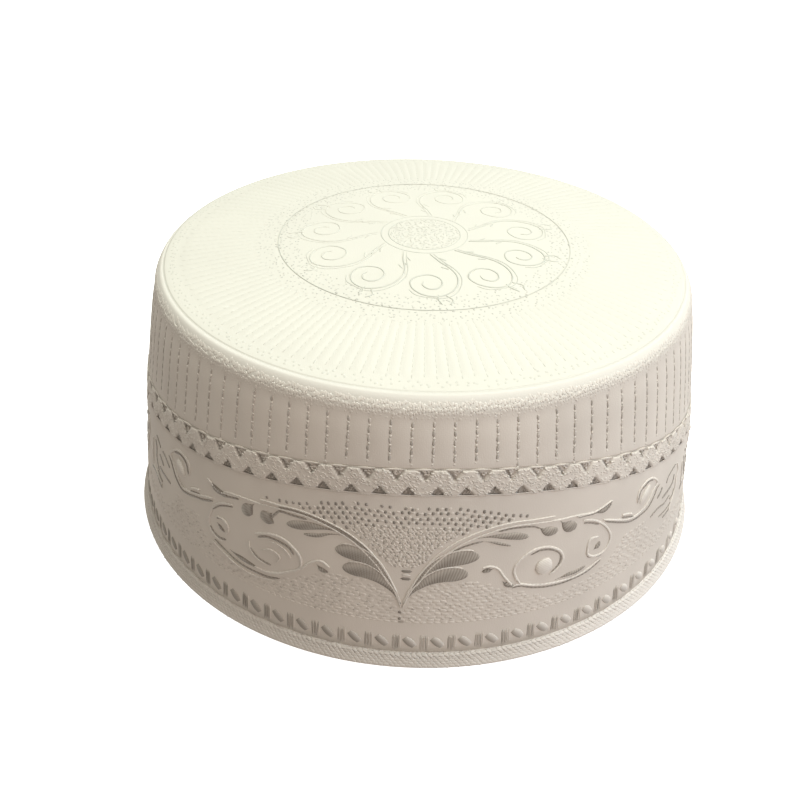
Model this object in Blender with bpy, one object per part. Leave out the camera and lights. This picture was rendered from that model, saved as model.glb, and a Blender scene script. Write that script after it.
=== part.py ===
"""Embroidered prayer cap: a flat-domed top panel, a soft side wall, a braid belt and a bound hem.

The cap stands on its hem, open side down, on Z = 0, with its axis on Z and its front toward -Y.
Heights are measured up from the foot of the hem and radii out from the axis, all in metres.
"""
import math

import bmesh
import bpy

MM = 0.001

# Overall form
RIM_HEIGHT = 83.2 * MM
RIM_RADIUS = 80.0 * MM
DOME_RISE = 6.4 * MM
DOME_POWER = 1.75
HEM_WALL_RADIUS = 91.6 * MM
WALL_TAPER = 0.055
WALL_CURVE_RADIUS = 635.0 * MM
SHOULDER_START = 70.0 * MM
SHOULDER_INSET = 1.6 * MM
SHOULDER_POWER = 2.2
WALL_THICKNESS = 2.0 * MM
SEAM_GAP = 0.3 * MM

# Rim seam
PIPING_RADIUS = 0.8 * MM
PIPING_SIDES = 6
SEAM_DIP = 0.5 * MM
SEAM_DIP_WIDTH = 0.8 * MM

# Belt line: the braid stands highest at the front, sinks at the two sides and wanders a little,
# as a braid sewn on by hand does
BELT_HEIGHT = 49.8 * MM
BELT_WAVES = (
    dict(turns=1, along=3.5 * MM, aside=-1.2 * MM),
    dict(turns=2, along=6.0 * MM, aside=-0.9 * MM),
    dict(turns=3, along=0.6 * MM, aside=1.4 * MM),
)
BELT_HALF_HEIGHT = 2.9 * MM
BELT_THICKNESS = 0.9 * MM
BELT_RECESS = 0.9 * MM
BELT_RECESS_EDGE = 4.7 * MM
RECESS_STEP = 0.3 * MM
CORD_RADIUS = 0.55 * MM
CORD_SIDES = 6
CORD_OFFSET = BELT_HALF_HEIGHT + SEAM_GAP + CORD_RADIUS

# Hem binding: a strip folded round the lower edge of the wall
HEM_HEIGHT = 4.4 * MM
HEM_RECESS = 0.8 * MM
HEM_PROUD = 0.5 * MM
HEM_FLARE = 1.1 * MM
HEM_FOLD_THICKNESS = 1.1 * MM
HEM_ROUNDING = 0.6 * MM

# Steps round the cap, and rows of points up or across each piece
SEGMENTS = 72
PANEL_ROWS = 6
PANEL_UNDER_ROWS = 5
SHOULDER_ROWS = 5
WALL_ROWS = 3
WALL_INNER_ROWS = 5
BAND_ROWS = 4
BELT_ROWS = 3
SHARP_EDGE = math.radians(40.0)

# Where the panel's first rows lie, in dip widths in from its edge
SEAM_DIP_ROWS = (0.0, 1.0, 3.0, 10.0)

FINISHES = {
    "panel_cloth": dict(colour=(0.84, 0.81, 0.72, 1.0), roughness=0.85),
    "wall_cloth": dict(colour=(0.74, 0.69, 0.61, 1.0), roughness=0.85),
    "cord": dict(colour=(0.78, 0.73, 0.66, 1.0), roughness=0.75),
    "braid": dict(colour=(0.7, 0.65, 0.575, 1.0), roughness=0.8),
    "hem_cloth": dict(colour=(0.75, 0.705, 0.615, 1.0), roughness=0.8),
}


def clear_scene():
    for item in list(bpy.data.objects):
        bpy.data.objects.remove(item, do_unlink=True)


def material(name):
    """A plain cloth finish, made once and shared by the pieces cut from it."""
    found = bpy.data.materials.get(name)
    if found:
        return found
    made = bpy.data.materials.new(name)
    made.use_nodes = True
    shader = made.node_tree.nodes["Principled BSDF"]
    shader.inputs["Base Color"].default_value = FINISHES[name]["colour"]
    shader.inputs["Roughness"].default_value = FINISHES[name]["roughness"]
    shader.inputs["Metallic"].default_value = 0.0
    return made


def dome_height(radius):
    """Height of the top panel's fair surface over the rim's plane."""
    return RIM_HEIGHT + DOME_RISE * (1.0 - (radius / RIM_RADIUS) ** DOME_POWER)


def wall_radius(height):
    """Outer radius of the side wall: a gentle barrel, drawn in over the shoulder."""
    barrel = HEM_WALL_RADIUS - WALL_TAPER * height - height ** 2 / (2.0 * WALL_CURVE_RADIUS)
    if height <= SHOULDER_START:
        return barrel
    share = (height - SHOULDER_START) / (RIM_HEIGHT - SHOULDER_START)
    return barrel - SHOULDER_INSET * share ** SHOULDER_POWER


def belt_line(angle):
    """Height of the belt's middle at an angle from the front."""
    height = BELT_HEIGHT
    for wave in BELT_WAVES:
        turn = wave["turns"] * angle
        height += wave["along"] * math.cos(turn) + wave["aside"] * math.sin(turn)
    return height


def at_angle(angle, radius, height):
    """A point at an angle from the front (-Y), turning toward +X."""
    return (radius * math.sin(angle), -radius * math.cos(angle), height)


def finish(name, shape, finish_name):
    """Make one named object from a bmesh, faces out, smooth but for its real edges."""
    bmesh.ops.recalc_face_normals(shape, faces=shape.faces)
    mesh = bpy.data.meshes.new(name)
    shape.to_mesh(mesh)
    shape.free()
    mesh.shade_smooth()
    mesh.set_sharp_from_angle(angle=SHARP_EDGE)
    made = bpy.data.objects.new(name, mesh)
    bpy.context.collection.objects.link(made)
    made.data.materials.append(material(finish_name))
    return made


def angles():
    return [2.0 * math.pi * step / SEGMENTS for step in range(SEGMENTS)]


def ring_body(name, section, finish_name):
    """A closed ring: section(angle) gives the outline (radius, height) of its cloth there."""
    shape = bmesh.new()
    loops = []
    for angle in angles():
        loops.append([shape.verts.new(at_angle(angle, radius, height))
                      for radius, height in section(angle)])
    for step, near in enumerate(loops):
        far = loops[(step + 1) % SEGMENTS]
        for row in range(len(near)):
            after = (row + 1) % len(near)
            shape.faces.new((near[row], near[after], far[after], far[row]))
    return finish(name, shape, finish_name)


def disc_body(name, upper, lower, finish_name):
    """A closed disc: upper and lower list (radius, height) from the edge in, the last at radius 0."""
    shape = bmesh.new()
    rims = []
    for side in (upper, lower):
        rows = [[shape.verts.new(at_angle(angle, radius, height)) for angle in angles()]
                for radius, height in side[:-1]]
        middle = shape.verts.new((0.0, 0.0, side[-1][1]))
        for outer, inner in zip(rows, rows[1:]):
            bridge_rows(shape, outer, inner)
        for step, corner in enumerate(rows[-1]):
            shape.faces.new((corner, rows[-1][(step + 1) % SEGMENTS], middle))
        rims.append(rows[0])
    bridge_rows(shape, rims[0], rims[1])
    return finish(name, shape, finish_name)


def bridge_rows(shape, first, second):
    for step in range(SEGMENTS):
        after = (step + 1) % SEGMENTS
        shape.faces.new((first[step], first[after], second[after], second[step]))


def round_section(radius, height, half_width, sides):
    """The outline of a round cord's section, centred at a radius and height."""
    turns = [2.0 * math.pi * side / sides for side in range(sides)]
    return [(radius + half_width * math.cos(turn), height + half_width * math.sin(turn))
            for turn in turns]


def spread(start, end, count):
    """Evenly spaced values from start to end, both included."""
    return [start + (end - start) * step / (count - 1) for step in range(count)]


PANEL_EDGE_RADIUS = RIM_RADIUS - PIPING_RADIUS - SEAM_GAP
PANEL_UNDER_EDGE = dome_height(PANEL_EDGE_RADIUS) - WALL_THICKNESS
SIDE_TOP = PANEL_UNDER_EDGE - SEAM_GAP


def panel_height(radius):
    """Top surface of the panel: the dome, pulled down into the rim seam at its edge."""
    from_edge = PANEL_EDGE_RADIUS - radius
    return dome_height(radius) - SEAM_DIP * math.exp(-from_edge / SEAM_DIP_WIDTH)


def make_crown_top():
    near_seam = [PANEL_EDGE_RADIUS - widths * SEAM_DIP_WIDTH for widths in SEAM_DIP_ROWS]
    across = spread(near_seam.pop(), 0.0, PANEL_ROWS)
    upper = [(radius, panel_height(radius)) for radius in near_seam + across]
    under = spread(PANEL_EDGE_RADIUS, 0.0, PANEL_UNDER_ROWS)
    lower = [(radius, dome_height(radius) - WALL_THICKNESS) for radius in under]
    return disc_body("crown_top", upper, lower, "panel_cloth")


def make_rim_piping():
    height = SIDE_TOP + SEAM_GAP + PIPING_RADIUS
    outline = round_section(RIM_RADIUS, height, PIPING_RADIUS, PIPING_SIDES)
    return ring_body("rim_piping", lambda angle: outline, "cord")


def make_crown_side():
    def section(angle):
        foot = belt_line(angle) + 0.5 * SEAM_GAP
        recess = belt_line(angle) + BELT_RECESS_EDGE
        heights = (spread(SIDE_TOP, SHOULDER_START, SHOULDER_ROWS)
                   + spread(SHOULDER_START, recess + RECESS_STEP, WALL_ROWS)[1:])
        outer = [(wall_radius(height), height) for height in heights]
        outer += [(wall_radius(height) - BELT_RECESS, height) for height in (recess, foot)]
        inner = [(wall_radius(height) - WALL_THICKNESS, height)
                 for height in spread(foot, SIDE_TOP, WALL_INNER_ROWS)]
        return outer + inner
    return ring_body("crown_side", section, "wall_cloth")


def make_band():
    def section(angle):
        top = belt_line(angle) - 0.5 * SEAM_GAP
        recess = belt_line(angle) - BELT_RECESS_EDGE
        hem_recess = HEM_HEIGHT + SEAM_GAP
        foot = HEM_FOLD_THICKNESS + SEAM_GAP
        outer = [(wall_radius(height) - BELT_RECESS, height) for height in (top, recess)]
        outer += [(wall_radius(height), height)
                  for height in spread(recess - RECESS_STEP, hem_recess + RECESS_STEP, BAND_ROWS)]
        outer += [(wall_radius(height) - HEM_RECESS, height) for height in (hem_recess, foot)]
        inner = [(wall_radius(height) - WALL_THICKNESS, height)
                 for height in spread(foot, top, BAND_ROWS)]
        return outer + inner
    return ring_body("band", section, "wall_cloth")


def make_belt():
    def section(angle):
        top = belt_line(angle) + BELT_HALF_HEIGHT
        foot = belt_line(angle) - BELT_HALF_HEIGHT
        inset = BELT_RECESS - SEAM_GAP
        inner = [(wall_radius(height) - inset, height) for height in (foot, top)]
        outer = [(wall_radius(height) - inset + BELT_THICKNESS, height)
                 for height in spread(top, foot, BELT_ROWS)]
        return outer + inner
    return ring_body("belt", section, "braid")


def make_belt_cord(name, offset):
    def section(angle):
        height = belt_line(angle) + offset
        radius = wall_radius(height) - BELT_RECESS + SEAM_GAP + CORD_RADIUS
        return round_section(radius, height, CORD_RADIUS, CORD_SIDES)
    return ring_body(name, section, "cord")


def make_hem_binding():
    """The binding's section is a U that holds the wall's lower edge."""
    def outer_radius(height):
        flare = HEM_FLARE * (1.0 - height / HEM_HEIGHT)
        return wall_radius(height) + HEM_PROUD + flare
    slot_outside = wall_radius(0.0) - HEM_RECESS + SEAM_GAP
    slot_inside = wall_radius(0.0) - WALL_THICKNESS - SEAM_GAP
    inside = slot_inside - HEM_FOLD_THICKNESS
    outline = [
        (slot_outside, HEM_HEIGHT),
        (outer_radius(HEM_HEIGHT) - HEM_ROUNDING, HEM_HEIGHT),
        (outer_radius(HEM_HEIGHT), HEM_HEIGHT - HEM_ROUNDING),
        (outer_radius(HEM_ROUNDING), HEM_ROUNDING),
        (outer_radius(0.0) - HEM_ROUNDING, 0.0),
        (inside + HEM_ROUNDING, 0.0),
        (inside, HEM_ROUNDING),
        (inside, HEM_HEIGHT),
        (slot_inside, HEM_HEIGHT),
        (slot_inside, HEM_FOLD_THICKNESS),
        (slot_outside, HEM_FOLD_THICKNESS),
    ]
    return ring_body("hem_binding", lambda angle: outline, "hem_cloth")


def main():
    clear_scene()
    make_crown_top()
    make_rim_piping()
    make_crown_side()
    make_band()
    make_belt()
    make_belt_cord("belt_cord_upper", CORD_OFFSET)
    make_belt_cord("belt_cord_lower", -CORD_OFFSET)
    make_hem_binding()


main()
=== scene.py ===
"""Looks of the embroidered prayer cap: quilted cloth, running stitch, braid belt and satin scrolls.

Lengths are in millimetres until a mesh is made, and angles are in degrees from the cap's front,
growing toward +X. A chart point is (degrees, height) on the side wall and (x, y) on the top panel.
"""
import math

import bpy
import numpy as np
from mathutils import Matrix, Vector


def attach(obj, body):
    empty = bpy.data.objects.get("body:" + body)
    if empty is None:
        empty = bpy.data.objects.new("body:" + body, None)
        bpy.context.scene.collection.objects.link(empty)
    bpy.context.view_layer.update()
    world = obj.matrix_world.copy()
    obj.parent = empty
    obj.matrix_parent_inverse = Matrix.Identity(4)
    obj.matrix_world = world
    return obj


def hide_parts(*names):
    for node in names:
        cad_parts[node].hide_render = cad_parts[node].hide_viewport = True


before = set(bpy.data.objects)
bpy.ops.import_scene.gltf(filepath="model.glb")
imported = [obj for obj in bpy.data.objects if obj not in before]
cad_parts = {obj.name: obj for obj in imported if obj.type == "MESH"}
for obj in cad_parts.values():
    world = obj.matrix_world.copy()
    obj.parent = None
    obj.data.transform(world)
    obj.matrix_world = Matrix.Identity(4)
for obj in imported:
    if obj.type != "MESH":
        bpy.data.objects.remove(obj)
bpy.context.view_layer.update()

MM = 0.001

# The cap's form, as the solids have it
RIM_HEIGHT = 83.2
RIM_RADIUS = 80.0
DOME_RISE = 6.4
DOME_POWER = 1.75
HEM_WALL_RADIUS = 91.6
WALL_TAPER = 0.055
WALL_CURVE_RADIUS = 635.0
SHOULDER_START = 70.0
SHOULDER_INSET = 1.6
SHOULDER_POWER = 2.2
WALL_THICKNESS = 2.0
SEAM_GAP = 0.3
PIPING_RADIUS = 0.8
SEAM_DIP_WIDTH = 0.8
BELT_HEIGHT = 49.8
BELT_WAVES = ((1, 3.5, -1.2), (2, 6.0, -0.9), (3, 0.6, 1.4))
BELT_HALF_HEIGHT = 2.9
BELT_RECESS = 0.9
BELT_RECESS_EDGE = 4.7
CORD_RADIUS = 0.55
CORD_OFFSET = BELT_HALF_HEIGHT + SEAM_GAP + CORD_RADIUS
HEM_HEIGHT = 4.4
HEM_RECESS = 0.8
HEM_PROUD = 0.5
HEM_FLARE = 1.1
HEM_FOLD_THICKNESS = 1.1
PANEL_EDGE_RADIUS = RIM_RADIUS - PIPING_RADIUS - SEAM_GAP

# Cloth relief that the solids don't have, or have deeper: they dip by 0.5 at the panel's edge
SEAM_DIP = 0.1
ROLL_PUFF = 0.5
ROLL_HEIGHT = 79.6
ROLL_WIDTH = 2.3

# Length of one degree on the wall, near its middle
ARC = math.radians(90.0)
WALL_SCALE = np.array([ARC, 1.0])


def wall_radius(height):
    height = np.asarray(height, float)
    barrel = HEM_WALL_RADIUS - WALL_TAPER * height - height ** 2 / (2.0 * WALL_CURVE_RADIUS)
    share = np.clip((height - SHOULDER_START) / (RIM_HEIGHT - SHOULDER_START), 0.0, None)
    return barrel - SHOULDER_INSET * share ** SHOULDER_POWER


def cloth_radius(height):
    """The wall's outside, with the padded roll that lies under the rim."""
    height = np.asarray(height, float)
    return wall_radius(height) + ROLL_PUFF * np.exp(-((height - ROLL_HEIGHT) / ROLL_WIDTH) ** 2)


def dome_height(radius):
    return RIM_HEIGHT + DOME_RISE * (1.0 - (radius / RIM_RADIUS) ** DOME_POWER)


def panel_height(radius):
    return dome_height(radius) - SEAM_DIP * np.exp((radius - PANEL_EDGE_RADIUS) / SEAM_DIP_WIDTH)


def belt_line(degrees):
    """Height of the belt's middle. Each wave is (turns round the cap, cosine, sine)."""
    height = BELT_HEIGHT
    for turns, along, aside in BELT_WAVES:
        turn = turns * np.radians(degrees)
        height = height + along * np.cos(turn) + aside * np.sin(turn)
    return height


SIDE_TOP = float(dome_height(PANEL_EDGE_RADIUS)) - WALL_THICKNESS - SEAM_GAP


def joined(*parts):
    """Arrays of matching shape, joined as the coordinates of points."""
    return np.stack(np.broadcast_arrays(*parts), -1)


def around(degrees, radius, height):
    """Points at an angle from the front, a radius from the axis and a height."""
    angle = np.radians(degrees)
    return joined(radius * np.sin(angle), -radius * np.cos(angle), height)


def unit(vectors):
    return vectors / np.linalg.norm(vectors, axis=-1, keepdims=True)


def on_wall(chart):
    """Points of the wall's cloth at chart points (degrees, height), and its outward normals."""
    degrees, height = np.moveaxis(np.asarray(chart, float), -1, 0)
    slope = cloth_radius(height - 0.5) - cloth_radius(height + 0.5)
    return around(degrees, cloth_radius(height), height), unit(around(degrees, 1.0, slope))


def on_top(chart):
    """Points of the top panel at chart points (x, y), and its upward normals."""
    x, y = np.moveaxis(np.asarray(chart, float), -1, 0)
    radius = np.maximum(np.hypot(x, y), 0.01)
    slope = dome_height(radius + 0.01) - dome_height(np.maximum(radius - 0.01, 0.0))
    slope = slope / 0.02
    return joined(x, y, panel_height(radius)), unit(joined(-slope * x / radius,
                                                           -slope * y / radius, 1.0))


def ramp(value, start, end):
    """0 before start, 1 after end, smooth between."""
    share = np.clip((value - start) / (end - start), 0.0, 1.0)
    return share * share * (3.0 - 2.0 * share)


# Mesh making

class Batch:
    """Gathers closed bodies, in millimetres, and makes them one mesh."""

    def __init__(self):
        self.points = []
        self.quads = []
        self.triangles = []
        self.threads = []
        self.shades = []
        self.count = 0

    def add(self, points, quads, triangles=None, threads=None, shade=0.0):
        points = np.asarray(points, float).reshape(-1, 3)
        self.quads.append(np.asarray(quads).reshape(-1, 4) + self.count)
        if triangles is not None:
            self.triangles.append(np.asarray(triangles).reshape(-1, 3) + self.count)
        if threads is None:
            threads = np.zeros((len(points), 2))
        self.points.append(points)
        self.threads.append(np.asarray(threads, float).reshape(-1, 2))
        self.shades.append(np.broadcast_to(np.ravel(shade).astype(float), (len(points),)))
        self.count += len(points)

    def make(self, name, material, replaced=None):
        mesh = bpy.data.meshes.new(name)
        faces = []
        for group in self.quads + self.triangles:
            faces.extend(group.tolist())
        mesh.from_pydata((np.concatenate(self.points) * MM).tolist(), [], faces)
        mesh.shade_smooth()
        corners = np.empty(len(mesh.loops), np.int32)
        mesh.loops.foreach_get("vertex_index", corners)
        threads = np.concatenate(self.threads)[corners].astype(np.float32)
        mesh.uv_layers.new(name="threads").data.foreach_set("uv", threads.ravel())
        shades = mesh.attributes.new("shade", "FLOAT", "POINT")
        shades.data.foreach_set("value", np.concatenate(self.shades).astype(np.float32))
        piece = bpy.data.objects.new(name, mesh)
        bpy.context.collection.objects.link(piece)
        piece.data.materials.append(MATERIALS[material])
        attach(piece, "root")
        if replaced:
            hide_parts(replaced)


def grid_quads(rows, columns):
    """Faces between neighbouring rows of points that run round a ring, listed row by row."""
    row, column = np.meshgrid(np.arange(rows - 1), np.arange(columns), indexing="ij")
    after = (column + 1) % columns
    return joined(row * columns + column, row * columns + after,
                  (row + 1) * columns + after, (row + 1) * columns + column).reshape(-1, 4)


def end_caps(rows, columns):
    """Fans over a tube's first and last row, to two points listed after its own."""
    first = np.arange(columns)
    after = (first + 1) % columns
    last = (rows - 1) * columns
    middle = rows * columns
    return np.concatenate([joined(after, first, middle),
                           joined(last + first, last + after, middle + 1)])


def ring_shell(batch, outline, threads, shade=0.0):
    """A closed ring. outline is (rows, columns, 3), its rows going round the cloth's section."""
    rows, columns = outline.shape[:2]
    quads = grid_quads(rows + 1, columns) % (rows * columns)
    batch.add(outline, quads, threads=threads, shade=shade)


def smooth_path(points, step):
    """Chart points along a Catmull-Rom curve through the given ones, about a step apart."""
    points = np.asarray(points, float)
    points = np.concatenate([2.0 * points[:1] - points[1:2], points,
                             2.0 * points[-1:] - points[-2:-1]])
    made = []
    for before, start, end, after in zip(points, points[1:], points[2:], points[3:]):
        count = max(2, int(np.ceil(np.linalg.norm(end - start) / step)))
        t = (np.arange(count) / count)[:, None]
        made.append(0.5 * (2.0 * start + (end - before) * t
                           + (2.0 * before - 5.0 * start + 4.0 * end - after) * t ** 2
                           + (3.0 * start - before - 3.0 * end + after) * t ** 3))
    return np.concatenate(made + [points[-2:-1]])


def wall_path(points, step):
    """A smooth path of (degrees, height) points, its steps even in millimetres."""
    return smooth_path(np.asarray(points, float) * WALL_SCALE, step) / WALL_SCALE


def section(kind, sides):
    """Outline of a thread's section, (across, up), starting and ending under it."""
    if kind == "round":
        turn = np.linspace(0.0, math.tau, sides, endpoint=False) - np.pi / 2.0
        return joined(np.cos(turn), np.sin(turn))
    turn = np.linspace(0.0, np.pi, sides - 1)
    return np.concatenate([[(0.0, -0.35)], joined(np.cos(turn), np.sin(turn))])


def along(size, share):
    """A size given as a number, an array or a function of the share, at each share of a path."""
    size = size(share) if callable(size) else np.reshape(size, (-1, 1))
    return np.broadcast_to(size, share.shape)


def sweep(batch, surface, path, half_width, height, kind="pad", sides=8, lift=0.0,
          ridge=None, closed=False, shade=0.0):
    """A raised thread or satin pad along a chart path.

    half_width and height are sizes along the path. ridge is (pitch, depth, slant) of the stitches
    that cross it. shade is a number or a function of the share of the way along, the place across
    (-1 to 1) and the ridge's wave.
    """
    points, outward = surface(path)
    if closed:
        ahead = np.roll(points, -1, 0)
        tangent = unit(ahead - np.roll(points, 1, 0))
        steps = np.linalg.norm(ahead - points, axis=1)
    else:
        tangent = unit(np.gradient(points, axis=0))
        steps = np.linalg.norm(np.diff(points, axis=0), axis=1)
    length = np.concatenate([[0.0], np.cumsum(steps)])[:len(points), None]
    total = steps.sum() if closed else length[-1, 0]
    share = length / total
    side = unit(np.cross(tangent, outward))
    outline_across, outline_up = section(kind, sides).T
    across = along(half_width, share) * outline_across
    up = lift + along(height, share) * outline_up
    wave = np.zeros_like(across)
    if ridge:
        pitch, depth, slant = ridge
        wave = np.cos(math.tau * (length + slant * across) / pitch)
        up = up + depth * wave * np.clip(outline_up, 0.0, 1.0) ** 0.5
    body = points[:, None] + side[:, None] * across[..., None] + outward[:, None] * up[..., None]
    threads = joined(length, np.arange(sides)[None, :])
    if callable(shade):
        shade = np.broadcast_to(shade(share, outline_across, wave), across.shape)
    if closed:
        ring_shell(batch, body, threads, shade)
        return
    if np.ndim(shade):
        shade = np.concatenate([shade.ravel(), shade[[0, -1], 0]])
    ends = points[[0, -1]] + outward[[0, -1]] * lift
    body = np.concatenate([body.reshape(-1, 3), ends])
    threads = np.concatenate([threads.reshape(-1, 2), [(0.0, 0.0), (total, 0.0)]])
    batch.add(body, grid_quads(len(points), sides), end_caps(len(points), sides), threads, shade)


def grain_template(outline, tip_height):
    """A small thread's body, (along, across, up) points and faces, from its section."""
    points = [(along, across, up) for along in (-0.55, 0.55) for across, up in outline]
    points += [(-1.0, 0.0, tip_height), (1.0, 0.0, tip_height)]
    return np.array(points), grid_quads(2, len(outline)), end_caps(2, len(outline))


ROUND_GRAIN = grain_template(
    [(0.0, 0.95), (-0.9, 0.29), (-0.56, -0.77), (0.56, -0.77), (0.9, 0.29)], 0.0)
SOFT_GRAIN = grain_template(
    [(0.0, 1.0), (-0.62, 0.6), (-1.0, -0.3), (1.0, -0.3), (0.62, 0.6)], -0.3)


def stitches(batch, surface, centres, tilt, length, width, height, lift=0.0, shade=0.0,
             scale=WALL_SCALE, grain=ROUND_GRAIN):
    """Many short thread bodies. tilt is in degrees from the chart's first axis."""
    centres = np.asarray(centres, float)
    count = len(centres)
    tilt = np.radians(np.broadcast_to(np.asarray(tilt, float), (count,)))
    step = 0.05 * joined(np.cos(tilt) / scale[0], np.sin(tilt) / scale[1])
    points, outward = surface(centres)
    ahead = unit(surface(centres + step)[0] - surface(centres - step)[0])
    aside = unit(np.cross(ahead, outward))
    shape, quads, caps = grain
    body = (points + outward * lift)[:, None]
    for axis, size, column in zip((ahead, aside, outward), (length, width, height), shape.T):
        size = np.broadcast_to(np.asarray(size, float), (count,))[:, None, None]
        body = body + axis[:, None] * (0.5 * size * column[None, :, None])
    offsets = (np.arange(count) * len(shape))[:, None, None]
    shade = np.repeat(np.broadcast_to(np.asarray(shade, float), (count,)), len(shape))
    batch.add(body, quads + offsets, caps + offsets, shade=shade)


# Materials

def add_node(tree, kind, **values):
    made = tree.nodes.new("ShaderNode" + kind)
    set_inputs(made, **values)
    return made


def set_inputs(node, **values):
    """Sets a node's inputs, named with underscores for spaces."""
    for name, value in values.items():
        node.inputs[name.replace("_", " ")].default_value = value


def cloth_material(name, colour, shade_colour, roughness=0.85, weave=0.0, mottle=0.06,
                   sheen=0.15):
    """Woven or stitched cotton: mottled colour, mixed toward shade_colour where shade is 1, fine
    thread bump. The shade attribute carries painted shade and painted light besides the threads'
    own tones.
    """
    made = bpy.data.materials.new(name)
    made.use_nodes = True
    tree = made.node_tree
    link = tree.links.new
    shader = tree.nodes["Principled BSDF"]
    set_inputs(shader, Roughness=roughness, Sheen_Weight=sheen, Sheen_Roughness=0.5,
               Specular_IOR_Level=0.25)
    place = add_node(tree, "TexCoord")
    patches = add_node(tree, "TexNoise", Scale=45.0, Detail=3.0)
    link(place.outputs["Object"], patches.inputs["Vector"])
    tint = add_node(tree, "ValToRGB")
    low, high = tint.color_ramp.elements
    low.position = 0.3
    high.position = 0.7
    low.color = (*[channel * (1.0 - mottle) for channel in colour], 1.0)
    high.color = (*[min(1.0, channel * (1.0 + 0.5 * mottle)) for channel in colour], 1.0)
    link(patches.outputs["Fac"], tint.inputs["Fac"])

    shade = add_node(tree, "Attribute")
    shade.attribute_name = "shade"
    darker = add_node(tree, "Mix")
    darker.data_type = "RGBA"
    set_inputs(darker, B=(*shade_colour, 1.0))
    link(shade.outputs["Fac"], darker.inputs["Factor"])
    link(tint.outputs["Color"], darker.inputs["A"])
    link(darker.outputs["Result"], shader.inputs["Base Color"])

    fuzz = add_node(tree, "TexNoise", Scale=2600.0, Detail=2.0)
    link(place.outputs["Object"], fuzz.inputs["Vector"])
    height = fuzz.outputs["Fac"]
    for direction in ("X", "Y") if weave else ():
        threads = add_node(tree, "TexWave", Scale=WEAVE_SCALE, Distortion=0.6)
        threads.wave_type = "BANDS"
        threads.bands_direction = direction
        link(place.outputs["UV"], threads.inputs["Vector"])
        add = add_node(tree, "Math")
        add.operation = "MULTIPLY_ADD"
        add.inputs[1].default_value = weave
        link(threads.outputs["Fac"], add.inputs[0])
        link(height, add.inputs[2])
        height = add.outputs["Value"]
    relief = add_node(tree, "Bump", Strength=0.25, Distance=0.15 * MM)
    link(height, relief.inputs["Height"])
    link(relief.outputs["Normal"], shader.inputs["Normal"])
    return made


WEAVE_SCALE = 0.625
WALL_COLOUR = (0.72, 0.67, 0.595)

# Colour, colour where shade is 1, and what differs from the usual cotton. The colour where shade is
# 1 serves painted shade as well as darker thread tones; crown_cloth's is paler, for painted light.
CLOTHS = {
    "panel_cloth": ((0.72, 0.705, 0.62), (0.5, 0.49, 0.43), dict(weave=0.1, mottle=0.02)),
    "panel_thread": ((0.6, 0.605, 0.53), (0.69, 0.68, 0.6), {}),
    "wall_cloth": (WALL_COLOUR, (0.38, 0.345, 0.295), dict(weave=0.08, sheen=0.05)),
    "light_thread": ((0.81, 0.765, 0.69), (0.34, 0.31, 0.265), dict(mottle=0.04)),
    "ground_thread": (WALL_COLOUR, (0.42, 0.38, 0.33), dict(sheen=0.05)),
    # crown_cloth's colour where shade is 1 is paler: painted light under the rim
    "crown_cloth": (WALL_COLOUR, (0.75, 0.725, 0.65), dict(weave=0.08, sheen=0.05)),
    "shoulder_thread": ((0.81, 0.775, 0.695), (0.68, 0.63, 0.555), dict(mottle=0.04, sheen=0.05)),
    "running_thread": ((0.59, 0.54, 0.475), (0.44, 0.4, 0.345), dict(mottle=0.08, sheen=0.05)),
    "panel_dots": ((0.7, 0.69, 0.605), (0.5, 0.5, 0.44), {}),
    "dark_thread": ((0.36, 0.325, 0.28), (0.2, 0.18, 0.15), dict(mottle=0.08, sheen=0.05)),
    "satin_thread": ((0.56, 0.51, 0.44), (0.19, 0.165, 0.135),
                     dict(mottle=0.08, roughness=0.6, sheen=0.1)),
    "braid": (WALL_COLOUR, (0.22, 0.195, 0.165), dict(mottle=0.08)),
    # hem_cloth is pale; painted shade darkens it away from the cap's right
    "hem_cloth": ((0.81, 0.77, 0.71), (0.44, 0.4, 0.34), dict(mottle=0.04, sheen=0.05)),
}
MATERIALS = {name: cloth_material(name, colour, shade_colour, **rest)
             for name, (colour, shade_colour, rest) in CLOTHS.items()}


# Top panel

RADIAL_ROWS = 144
RADIAL_ROW_START = 51.0
RADIAL_ROW_END = 73.5
PANEL_TUCK = 0.2
GROUND_RING = 44.7


def row_columns(rows, offset, shares):
    """Angles for a grid whose columns crowd round each stitched row."""
    pitch = 360.0 / rows
    return (offset + pitch * (np.arange(rows)[:, None] + np.asarray(shares)[None, :])).ravel()


def puff(degrees, rows, offset):
    """0 on a stitched row, rising to 1 half way to the next."""
    phase = (degrees - offset) * rows / 360.0
    return np.abs(np.sin(np.pi * phase)) ** 0.8


def make_top_panel():
    columns = row_columns(RADIAL_ROWS, -180.0, (0.0, 0.14, 0.5, 0.86))
    edge = PANEL_EDGE_RADIUS + PANEL_TUCK
    radius = np.concatenate([np.linspace(edge, 72.0, 18), np.linspace(70.5, 48.5, 14),
                             np.linspace(46.2, 43.2, 9), np.linspace(41.0, 1.2, 14)])[:, None]
    quilted = ramp(radius, 50.0, 53.0) * (1.0 - ramp(radius, 72.0, 74.5))
    height = panel_height(radius) + 0.15 * quilted * puff(columns, RADIAL_ROWS, -180.0)
    height -= 0.08 * np.exp(-((radius - GROUND_RING) / 0.7) ** 2)
    radius_under = np.linspace(1.2, edge, 8)[:, None]
    under = around(columns, radius_under, dome_height(radius_under) - WALL_THICKNESS)
    grid = np.concatenate([under, around(columns, radius, height)])
    rows, count = grid.shape[:2]
    top = float(dome_height(0.0))
    points = np.concatenate([grid.reshape(-1, 3), [(0.0, 0.0, top - WALL_THICKNESS),
                                                   (0.0, 0.0, top)]])
    batch = Batch()
    batch.add(points, grid_quads(rows, count), end_caps(rows, count), threads=points[:, :2])
    batch.make("top_panel", "panel_cloth", "crown_top")


RIM_CORD_RADIUS = 0.4
RIM_CORD_INSET = 0.9


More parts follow.
